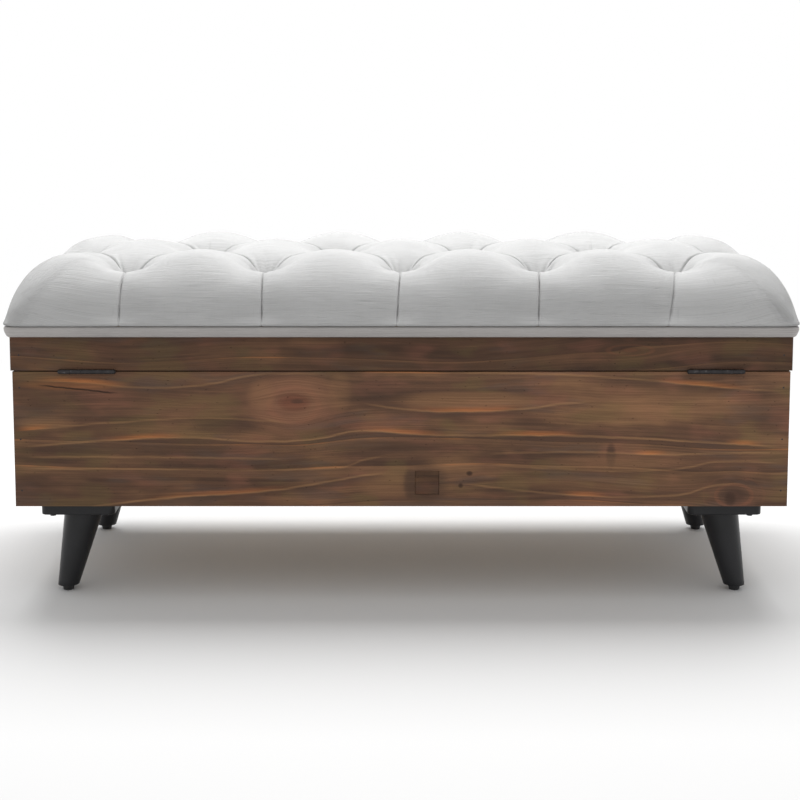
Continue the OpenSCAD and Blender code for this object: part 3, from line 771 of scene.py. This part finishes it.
# The shares of a corner cell at which its outline's bend starts and ends.
BEND_START = 0.3
BEND_END = 0.6


def foot_shift(side, i):
    return PLEAT_DRIFT[side][i + 2] * MM


def smooth_step(value):
    value = np.clip(value, 0, 1)
    return value * value * (3 - 2 * value)


# How much lower the pad gets towards its ends and its sides, and where that starts and is full.
END_DROP = (0.12, 115 * MM, 35 * MM)
SIDE_DROP = (0.05, 85 * MM, 25 * MM)


def settle(points):
    """The pad is lower towards its ends and corners."""
    points = np.array(points, float)
    lower = 0.0
    for axis, half, (drop, start, full) in ((0, HALF_LENGTH, END_DROP), (1, HALF_DEPTH, SIDE_DROP)):
        from_edge = half - np.abs(points[:, axis])
        lower += drop * smooth_step((start - from_edge) / (start - full))
    points[:, 2] -= np.maximum(0, points[:, 2] - HEM) * lower
    return points


class Cushion:
    """The untufted pad as a net of cells whose borders are the pleats, and what the buttons do to it."""

    def __init__(self, along, down):
        """along is the number of steps between two buttons, down the number from a pleat to the hem."""
        self.along = along
        self.down = down
        self.rows = levels()
        self.falls = [(index / (len(self.rows) - 1)) ** 1.3 for index in range(len(self.rows))]
        self.points = []
        self.cloth = []
        self.faces = []
        self.creases = []
        self.tufts = self.tuft_places()
        for i in range(-2, 3):
            self.diamond(i * PITCH)
        for side in (-1, 1):
            for i in range(-2, 2):
                self.edge_cell(side, i)
        for side_x in (-1, 1):
            for side_y in (-1, 1):
                self.corner_cell(side_x, side_y)
        self.merge()

    @staticmethod
    def tuft_places():
        """The places of the buttons: rows of 5, 5 and, in the middle, 6."""
        places = [(i * PITCH, s * ROW) for s in (-1, 1) for i in range(-2, 3)]
        return places + [((i + 0.5) * PITCH, 0.0) for i in range(-3, 3)]

    def grid(self, rows, cloth, closed=False):
        """Adds a net of points, given as rows, and its faces, all facing out; a closed one has no hem."""
        count_v, count_u = len(rows), len(rows[0])
        ids = len(self.points) + np.arange(count_v * count_u).reshape(count_v, count_u)
        for row, cloth_row in zip(rows, cloth):
            self.points.extend(row)
            self.cloth.extend(cloth_row)
        borders = [ids[0], ids[:, 0], ids[:, -1]] + [ids[-1]] * closed
        self.creases += [pair for line in borders for pair in zip(line, line[1:])]
        j, i = count_v // 2, count_u // 2
        middle, next_u, next_v = (np.array(p) for p in (rows[j][i], rows[j][i + 1], rows[j + 1][i]))
        outward = middle - np.array((middle[0] * 0.8, middle[1] * 0.5, HEM))
        flip = np.dot(np.cross(next_u - middle, next_v - middle), outward) < 0
        corners = (ids[:-1, :-1], ids[:-1, 1:], ids[1:, 1:], ids[1:, :-1])
        faces = np.stack(corners, axis=-1).reshape(-1, 4)
        self.faces += (faces[:, ::-1] if flip else faces).tolist()

    def hang(self, columns):
        """Adds a net given as columns, each its points and their places on the cloth."""
        points, cloth = zip(*columns)
        self.grid(list(zip(*points)), list(zip(*cloth)))

    def diamond(self, x):
        """A cell on the flat top, between a button of each long row and two of the middle one."""
        left, right = np.array((x - PITCH / 2, 0)), np.array((x + PITCH / 2, 0))
        near, far = np.array((x, -ROW)), np.array((x, ROW))
        steps = graded(self.along)
        flat = []
        for v in steps:
            row = []
            for u in steps:
                p = (1 - u) * (1 - v) * near + u * (1 - v) * right + (1 - u) * v * left + u * v * far
                row.append(tuple(p))
            flat.append(row)
        self.grid([[(*p, CREST) for p in row] for row in flat], flat, closed=True)

    def run_down(self, start, outline, normals):
        """Points evenly spaced from a pleat on the top out to the edge and down to the hem."""
        path = [np.array((start[0], start[1], CREST))] + [np.array(p) for p in outline]
        steps = [np.linalg.norm(b - a) for a, b in zip(path, path[1:])]
        way = np.concatenate(([0], np.cumsum(steps)))
        at = graded(self.down, 0.5) * way[-1]
        spread = np.stack([np.interp(at, way, [p[k] for p in path]) for k in range(3)], axis=1)
        over = np.maximum(0, at - way[1])
        border = np.array(outline[0][:2])
        flat = [spread[k][:2] if at[k] <= way[1] else border + normals * over[k] for k in range(len(at))]
        return [tuple(p) for p in spread], [tuple(p) for p in flat]

    def edge_cell(self, side, i):
        """A cell between two side pleats, from the top pleats down to the hem."""
        left, right = i * PITCH, (i + 1) * PITCH
        half = graded(self.along) / 2
        columns = []
        for u in np.concatenate((half, 0.5 + half[1:])):
            start = (left + (right - left) * u, side * ROW * abs(2 * u - 1))
            outline = []
            for fall, (inset, height, _) in zip(self.falls, self.rows):
                x0 = left + foot_shift(side, i) * fall
                x1 = right + foot_shift(side, i + 1) * fall
                outline.append((x0 + (x1 - x0) * u, side * (HALF_DEPTH - inset[1]), height))
            columns.append(self.run_down(start, outline, np.array((0, side))))
        self.hang(columns)

    def corner_cell(self, side_x, side_y):
        """A cell round a corner, from the last side pleat to the pleat of the end."""
        first = PITCH * 2
        shift = foot_shift(side_y, 2 * side_x) * side_x
        columns = []
        for u in graded(self.along):
            start = (side_x * (first + u * PITCH / 2), side_y * ROW * (1 - u))
            turn = pi / 2 * min(1, max(0, (u - BEND_START) / (BEND_END - BEND_START)))
            outline = []
            for fall, (inset, height, corner) in zip(self.falls, self.rows):
                x0 = first + shift * fall
                half_x, half_y = HALF_LENGTH - inset[0], HALF_DEPTH - inset[1]
                if u <= BEND_START:
                    x, y = x0 + (half_x - corner - x0) * u / BEND_START, half_y
                elif u <= BEND_END:
                    x = half_x - corner + corner * sin(turn)
                    y = half_y - corner + corner * cos(turn)
                else:
                    x, y = half_x, (half_y - corner) * (1 - u) / (1 - BEND_END)
                outline.append((side_x * x, side_y * y, height))
            facing = np.array((side_x * sin(turn), side_y * cos(turn)))
            columns.append(self.run_down(start, outline, facing))
        self.hang(columns)

    def merge(self):
        """Joins the cells along their shared borders and finds the pleats, which are those borders."""
        keys = np.round(np.array(self.points) / (0.05 * MM)).astype(np.int64)
        _, first, back = np.unique(keys, axis=0, return_index=True, return_inverse=True)
        back = back.ravel()
        self.points = settle(np.array(self.points)[first])
        self.cloth = np.array(self.cloth)[first]
        faces = [[back[v] for v in face] for face in self.faces]
        self.faces = [face for face in faces if len(set(face)) > 2]
        self.creases = {tuple(sorted((back[a], back[b]))) for a, b in self.creases}

    def normals(self):
        total = np.zeros_like(self.points)
        faces = np.array([f if len(f) == 4 else [*f, f[-1]] for f in self.faces])
        a, b, c, d = (self.points[faces[:, k]] for k in range(4))
        face_normal = np.cross(c - a, d - b)
        for k in range(4):
            np.add.at(total, faces[:, k], face_normal)
        return total / np.maximum(1e-12, np.linalg.norm(total, axis=1))[:, None]

    def inward(self, depth):
        """The points moved in by depth; those at the hem move level, so that inner layers stay down."""
        facing = self.normals()
        core = np.array((HALF_LENGTH - END_ROLL, HALF_DEPTH - SIDE_ROLL))
        level = self.points[:, :2] - np.clip(self.points[:, :2], -core, core)
        level /= np.maximum(1e-9, np.linalg.norm(level, axis=1))[:, None]
        low = 1 - smooth_step((self.points[:, 2] - HEM - 4 * MM) / (12 * MM))
        facing[:, :2] += (level - facing[:, :2]) * low[:, None]
        facing[:, 2] *= 1 - low
        facing /= np.linalg.norm(facing, axis=1)[:, None]
        return self.points - facing * depth[:, None]

    def pleats(self):
        """Each pleat as its points on the pad, their way from the nearest button, and its kind."""
        found = []
        steps = np.linspace(0, 1, 80)
        length = hypot(PITCH / 2, ROW)
        for x, y in self.tufts:
            if y == 0:
                continue
            for side in (-1, 1):
                end = x + side * PITCH / 2
                line = [(x + (end - x) * t, y - y * t, CREST) for t in steps]
                found.append((settle(line), np.minimum(steps, 1 - steps) * length, TOP_PLEAT))
        for side in (-1, 1):
            for i in range(-2, 3):
                line = [(i * PITCH, side * ROW, CREST)]
                for fall, (inset, height, _) in zip(self.falls, self.rows):
                    x = i * PITCH + foot_shift(side, i) * fall
                    line.append((x, side * (HALF_DEPTH - inset[1]), height))
                found.append((*self.measured(line), SIDE_PLEAT))
            line = [(side * 2.5 * PITCH, 0, CREST)]
            line += [(side * (HALF_LENGTH - inset[0]), 0, height) for inset, height, _ in self.rows]
            found.append((*self.measured(line), SIDE_PLEAT))
        return found

    @staticmethod
    def measured(line):
        """The line with a point every 2 mm, and the way from its start to each."""
        line = settle(line)
        way = np.concatenate(([0], np.cumsum(np.linalg.norm(np.diff(line, axis=0), axis=1))))
        at = np.arange(0, way[-1], 2 * MM)
        return np.stack([np.interp(at, way, line[:, k]) for k in range(3)], axis=1), at

    def drawn_in(self, soft):
        """How far the pleats draw each point in, to its fourth power, and how deep their creases are."""
        pull = np.zeros(len(self.points))
        fold = np.zeros(len(self.points))
        for line, way, kind in self.pleats():
            draw, deeper, carry, reach, crease = kind
            low, high = line.min(0) - SEARCH, line.max(0) + SEARCH
            near = np.where(((self.points >= low) & (self.points <= high)).all(axis=1))[0]
            gap = np.linalg.norm(self.points[near][:, None, :] - line[None], axis=2)
            nearest = gap.argmin(axis=1)
            away = gap[np.arange(len(near)), nearest]
            run = way[nearest]
            share = np.maximum(0, 1 - away / reach) ** (1.5 + soft)
            pull[near] += ((draw + deeper * np.exp(-run / carry)) * share) ** 4
            if kind is TOP_PLEAT and line[0][1] < 0:
                crease = crease * (1 - FADED * smooth_step((FADE_FAR - run) / (FADE_FAR - FADE_NEAR)))
            fold[near] = np.maximum(fold[near], crease * np.exp(-((away / CREASE_WIDTH) ** 2)))
        return pull, fold

    def sink(self, soft=0.0):
        """How far each point is pulled in; soft blurs it for the inner layers, which have no creases."""
        pull, fold = self.drawn_in(soft)
        deepest = CREST - TUFT_FLOOR
        high = smooth_step((self.points[:, 2] - HEM - 30 * MM) / (45 * MM))
        seat = np.ones(len(self.points))
        for x, y in self.tufts:
            away = np.hypot(self.points[:, 0] - x, self.points[:, 1] - y)
            ring = np.maximum(0, away - SEAT) / WELL
            pull += (deepest * np.exp(-(ring**WELL_POWER)) * high) ** 4
            flat = np.clip((away - SEAT) / SEAT_RING, 0, 1)
            seat = np.minimum(seat, np.where(high > 0.5, flat, 1))
        free = smooth_step((self.points[:, 2] - HEM - 0.5 * MM) / (16 * MM))
        pull = np.minimum(pull**0.25 * (0.06 + 0.94 * free), deepest)
        if soft:
            return pull
        fold *= 0.25 + 0.75 * free
        return seat * np.minimum(pull + fold + self.small_folds() * high, deepest) + (1 - seat) * deepest

    def small_folds(self):
        """Small folds that run out from each button, where the linen is drawn together."""
        rng = random.Random(23)
        folds = np.zeros(len(self.points))
        for x, y in self.tufts:
            dx, dy = self.points[:, 0] - x, self.points[:, 1] - y
            away = np.hypot(dx, dy)
            near = np.where((away > FOLD_START) & (away < FOLD_END))[0]
            away = away[near]
            turn = np.arctan2(dy[near], dx[near])
            for k in range(FOLDS):
                at = 2 * pi * (k + rng.uniform(-0.3, 0.3)) / FOLDS
                length = rng.uniform(14, 26) * MM
                size = rng.uniform(5.5, 9.5) * MM
                lean = turn - at - rng.uniform(-2.5, 2.5) * (away - 12 * MM)
                aside = np.abs((lean + pi) % (2 * pi) - pi) * away
                fade = np.exp(-np.maximum(0, away - 14 * MM) / length)
                folds[near] += size * fade * np.exp(-((aside / FOLD_WIDTH) ** 1.2))
        return folds


def rim_of(faces):
    """The directed border edges of an open net."""
    edges = {(face[k - 1], face[k]) for face in faces for k in range(len(face))}
    return [(a, b) for a, b in edges if (b, a) not in edges]


def layer_under(net, soft, gap, most):
    """The pad's surface that much under the cover, pulled in no further than most and kept above the hem."""
    points = net.inward(np.minimum(net.sink(soft) + gap, most))
    points[:, 2] = np.maximum(points[:, 2], HEM + 0.4 * MM)
    return points


def make_wadding():
    """The fibre layer under the cover, a closed quilt that follows the tufts more softly on its inside."""
    net = Cushion(along=16, down=20)
    outer = layer_under(net, 0.01, 7 * MM, inf)
    inner = layer_under(net, 0.6, 18 * MM, 50 * MM)
    count = len(net.points)
    faces = [list(face) for face in net.faces]
    faces += [[v + count for v in face[::-1]] for face in net.faces]
    faces += [[b, a, a + count, b + count] for a, b in rim_of(net.faces)]
    wadding = new_piece("fibre_quilt", np.concatenate((outer, inner)), faces, WADDING)
    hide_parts("seat_wadding")


def make_foam():
    """The foam block, pressed in under each button."""
    net = Cushion(along=12, down=12)
    follows = {b: a for a, b in rim_of(net.faces)}
    base = [next(iter(follows))]
    while follows[base[-1]] != base[0]:
        base.append(follows[base[-1]])
    foam = new_piece("foam_block", layer_under(net, 0.6, 19 * MM, 51 * MM), [*net.faces, base], FOAM)
    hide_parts("seat_foam")


def lathe(profile, turns, centre):
    """Points and faces of a profile of (radius, height) turned about an upright axis and closed."""
    x, y, z = centre
    angles = [2 * pi * k / turns for k in range(turns)]
    points, faces = [], []
    for radius, height in profile:
        points += [(x + radius * cos(a), y + radius * sin(a), z + height) for a in angles]
    for j in range(len(profile) - 1):
        for k in range(turns):
            p, q = j * turns + k, j * turns + (k + 1) % turns
            faces.append((p, q, q + turns, p + turns))
    last = (len(profile) - 1) * turns
    return points, [*faces, range(turns)[::-1], range(last, last + turns)]


def button_profile():
    """Half the outline of a covered button as (radius, height): flat foot, short flank and soft dome."""
    flank = 2.1 * MM
    dome = 3.9 * MM
    profile = [(2 * MM, 0.2 * MM), (9.6 * MM, 0.2 * MM), (11.2 * MM, 0.7 * MM)]
    for turn in range(0, 90, 14):
        a = radians(turn)
        profile.append((0.99 * BUTTON_RADIUS * cos(a) ** 0.8, flank + dome * sin(a)))
    return profile


def make_buttons():
    """Domed buttons covered in the seat's linen."""
    points, faces, cloth = [], [], []
    for x, y in Cushion.tuft_places():
        base = len(points)
        more, its_faces = lathe(button_profile(), 32, (x, y, TUFT_FLOOR))
        points += more
        cloth += [(p[0] * 0.8 + p[1] * 0.6, p[1] * 0.8 - p[0] * 0.6) for p in more]
        faces += [[v + base for v in face] for face in its_faces]
    buttons = new_piece("covered_buttons", points, faces, LINEN, cloth)
    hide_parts("tuft_buttons")
    subdivide(buttons)


def rounded_outline(half_x, half_y, corner):
    """A closed round of points with rounded corners and finely divided straights."""
    steps, straight = 10, 260
    bends = []
    for cx, cy, start in ((1, 1, 0), (-1, 1, 90), (-1, -1, 180), (1, -1, 270)):
        for k in range(steps + 1):
            a = radians(start + 90 * k / steps)
            x = cx * (half_x - corner) + corner * cos(a)
            bends.append((x, cy * (half_y - corner) + corner * sin(a)))
    full = []
    for p, q in zip(bends, bends[1:] + bends[:1]):
        parts = max(1, round(dist(p, q) / (2 * (half_x + half_y)) * straight))
        full += [(p[0] + (q[0] - p[0]) * t / parts, p[1] + (q[1] - p[1]) * t / parts) for t in range(parts)]
    return full


# The band's section: how far out and how high each point is, in millimetres.
BAND_PROFILE = (
    (-3.2, 0.4), (-0.4, 0.2), (0.6, 1.0), (2.0, 3.4), (3.5, 6.4),
    (4.4, 9.4), (4.6, 12.2), (3.6, 14.2), (1.2, 14.9), (-3.2, 14.9),
)
# The way on the cloth map from one of these points to the next.
BAND_STEP = 2.4 * MM


def make_band():
    """The padded linen band between the cushion and the lid's rails, drawn round the deck's edge."""
    low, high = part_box("seat_band")
    path = rounded_outline(high.x, high.y, 9 * MM)
    rng = random.Random(11)
    puff = [rng.uniform(-0.25, 0.25) for _ in path]
    points, faces, cloth = [], [], []
    count, profile = len(path), len(BAND_PROFILE)
    way = 0.0
    for k, (x, y) in enumerate(path):
        before, after = path[k - 1], path[(k + 1) % count]
        facing = Vector((after[1] - before[1], before[0] - after[0])).normalized()
        way += dist(before, (x, y)) if k else 0.0
        soft = (puff[k - 1] + puff[k] + puff[(k + 1) % count]) / 3
        rise = 0.0
        for j, (out, height) in enumerate(BAND_PROFILE):
            offset = (out + soft * sin(pi * j / (profile - 1))) * MM
            points.append((x + facing.x * offset, y + facing.y * offset, low.z + height * MM))
            cloth.append((way, rise))
            rise += BAND_STEP
            this, following = k * profile, (k + 1) % count * profile
            above = (j + 1) % profile
            faces.append((this + j, following + j, following + above, this + above))
    band = new_piece("linen_band", points, faces, BAND, cloth)
    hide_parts("seat_band")
    subdivide(band)


def make_lining():
    """Black non-woven cloth stretched under the deck, which sags a little away from its edges."""
    low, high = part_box("lid_lining")
    long, wide = high.x - low.x, high.y - low.y
    count_x, count_y = 128, 48
    edge, slack = 6, 0.4
    rng = random.Random(5)
    limits = ((20, 60), (20, 60), (0, 6), (0.1, 0.3))
    waves = [[rng.uniform(*limit) for limit in limits] for _ in range(6)]
    points, faces = [], []
    for j in range(count_y + 1):
        for i in range(count_x + 1):
            x, y = low.x + long * i / count_x, low.y + wide * j / count_y
            inside = min(1, min(i, count_x - i, j, count_y - j) / edge)
            sag = sum(a * (1 + sin(x * kx + y * ky + p)) for kx, ky, p, a in waves)
            points.append((x, y, high.z - 0.1 * MM - sag * MM * slack * inside))
    for j in range(count_y):
        for i in range(count_x):
            p = j * (count_x + 1) + i
            faces.append((p, p + count_x + 1, p + count_x + 2, p + 1))
    lining = new_piece("dust_lining", points, faces, LINING)
    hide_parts("lid_lining")


def make_cover():
    """The tufted linen cover: pulled in along the pleats and at the buttons, with small drawn wrinkles."""
    net = Cushion(along=36, down=36)
    shaped = net.points - net.normals() * net.sink()[:, None]
    cover = new_piece("tufted_cover", shaped, net.faces, LINEN, net.cloth)
    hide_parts("seat_cover")
    crease = cover.data.attributes.new("crease_edge", "FLOAT", "EDGE")
    sharp = [float(tuple(sorted(edge.vertices)) in net.creases) for edge in cover.data.edges]
    crease.data.foreach_set("value", sharp)
    subdivide(cover)
    thick = cover.modifiers.new("cloth_thickness", "SOLIDIFY")
    thick.thickness = 1.2 * MM
    thick.offset = -1


make_cover()
make_wadding()
make_foam()
make_buttons()
make_band()
make_lining()

# ---- floor and light


def studio_white():
    """A pale floor that runs out into the white of the room, so no horizon shows."""
    floor_ends, white_starts = 0.9, 1.9
    n = Nodes("studio_floor")
    across, along, _ = n.split(n.place())
    far = n.math("SQRT", n.plus(n.times(across, across), n.times(along, along)))
    near = n.add("BsdfDiffuse", {"Color": (0.55, 0.55, 0.55, 1)}).outputs[0]
    glow = n.add("Emission", {"Color": (1, 1, 1, 1)}).outputs[0]
    white = n.band(far, floor_ends, white_starts)
    mixed = n.add("MixShader", {0: white, 1: near, 2: glow}).outputs[0]
    n.add("OutputMaterial", {"Surface": mixed})
    return n.material


def make_floor():
    mesh = bpy.data.meshes.new("floor")
    half = 12
    corners = [(-half, -half, 0), (half, -half, 0), (half, half, 0), (-half, half, 0)]
    mesh.from_pydata(corners, [], [(0, 1, 2, 3)])
    mesh.materials.append(studio_white())
    floor = show(bpy.data.objects.new("floor", mesh))


def make_lamp():
    """A large soft lamp above the seat, a little towards the opening side, that faces the box."""
    data = bpy.data.lights.new("overhead", "AREA")
    data.shape = "RECTANGLE"
    data.size = 2.6
    data.size_y = 1.4
    data.energy = 88
    lamp = show(bpy.data.objects.new("overhead", data))
    lamp.location = (0, 0.75, 2.2)
    target = Vector((0, 0, 0.4))
    lamp.rotation_euler = (target - lamp.location).to_track_quat("-Z", "Y").to_euler()


def make_world():
    """Even white light from all round."""
    world = bpy.data.worlds.new("studio")
    world.use_nodes = True
    background = world.node_tree.nodes["Background"]
    background.inputs[0].default_value = (1, 1, 1, 1)
    background.inputs[1].default_value = 1.0
    bpy.context.scene.world = world


make_floor()
make_world()
make_lamp()
bpy.context.scene.view_settings.view_transform = "Standard"
